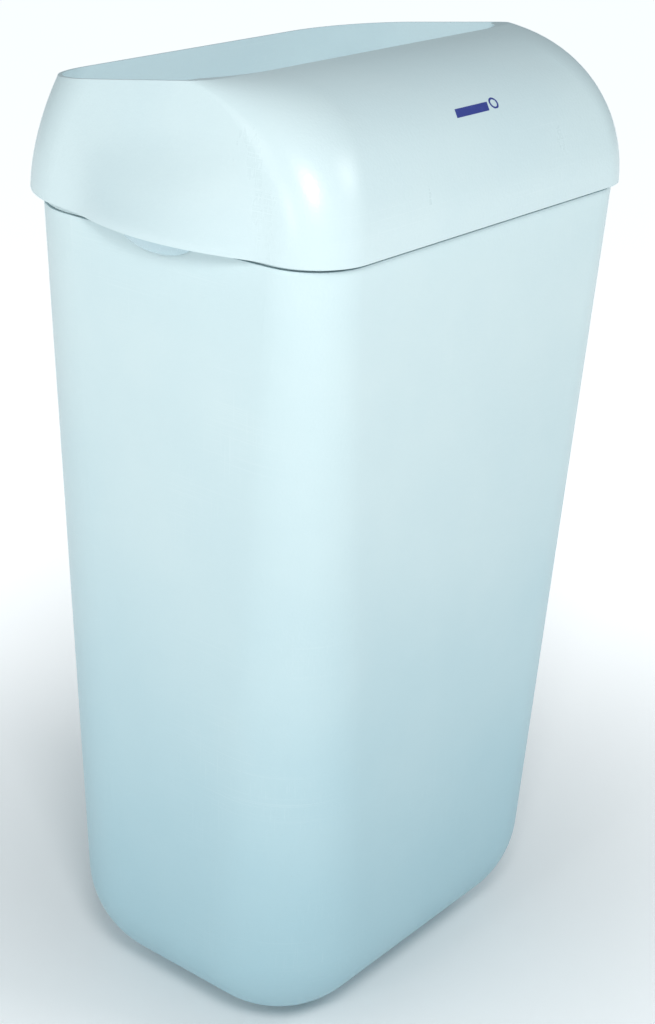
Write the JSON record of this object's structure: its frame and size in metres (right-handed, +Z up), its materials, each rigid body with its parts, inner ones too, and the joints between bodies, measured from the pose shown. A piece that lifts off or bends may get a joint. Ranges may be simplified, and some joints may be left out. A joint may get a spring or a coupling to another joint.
{
  "type": "wall-hung waste bin",
  "caption": "Tall tapered moulded waste bin with a rounded base and a lift-off domed hood that is open at the top, a bag ring under the hood and a wall bracket behind.",
  "frame": {"origin": "middle of the bin's box in plan, on the surface that its base stands on", "axes": "+Z up, -Y the front that faces the room, +Y towards the wall, +X to the right as seen from the front"},
  "size_m": [0.4033, 0.2939, 0.735],
  "materials": {
    "container_plastic": "semi-gloss moulded ABS, white with a cool tint",
    "hood_plastic": "glossier moulded ABS, white with a cool tint",
    "ring_plastic": "semi-gloss moulded ABS, white with a cool tint",
    "zinc_steel": "bright zinc-plated sheet steel",
    "rivet_aluminium": "plain aluminium",
    "buffer_rubber": "matt black rubber",
    "mark_ink": "dark blue pad-printed ink"
  },
  "bodies": {
    "bin": {"bin_body": "container_plastic", "hanger_plate": "zinc_steel", "hanger_rivets": "rivet_aluminium", "left_buffer": "buffer_rubber", "right_buffer": "buffer_rubber"},
    "ring": {"bag_ring": "ring_plastic"},
    "latch_left": {"left_latch": "ring_plastic"},
    "latch_right": {"right_latch": "ring_plastic"},
    "cover": {"hood": "hood_plastic"},
    "bracket": {"wall_bracket": "zinc_steel"}
  },
  "joints": [
    {"name": "hood_lift", "type": "slide", "parent": "bin", "child": "cover", "axis": [0, 0, 1], "range_m": [0, 0.2]},
    {"name": "ring_lift", "type": "slide", "parent": "bin", "child": "ring", "axis": [0, 0, 1], "range_m": [0, 0.08]},
    {"name": "left_press", "type": "hinge", "parent": "ring", "child": "latch_left", "pos_m": [-0.1884, -0.0055, 0.639], "axis": [0, -1, 0], "range_deg": [0, 6], "stiffness_Nm_per_rad": 0.6},
    {"name": "right_press", "type": "hinge", "parent": "ring", "child": "latch_right", "pos_m": [0.1884, -0.0055, 0.639], "axis": [0, 1, 0], "range_deg": [0, 6], "stiffness_Nm_per_rad": 0.6},
    {"name": "bracket_unhook", "type": "slide", "parent": "bin", "child": "bracket", "axis": [0, 0, 1], "range_m": [-0.045, 0]}
  ],
  "couplings": [
    {"joint": "ring_lift", "follows": "hood_lift", "ratio": 0.4}
  ]
}
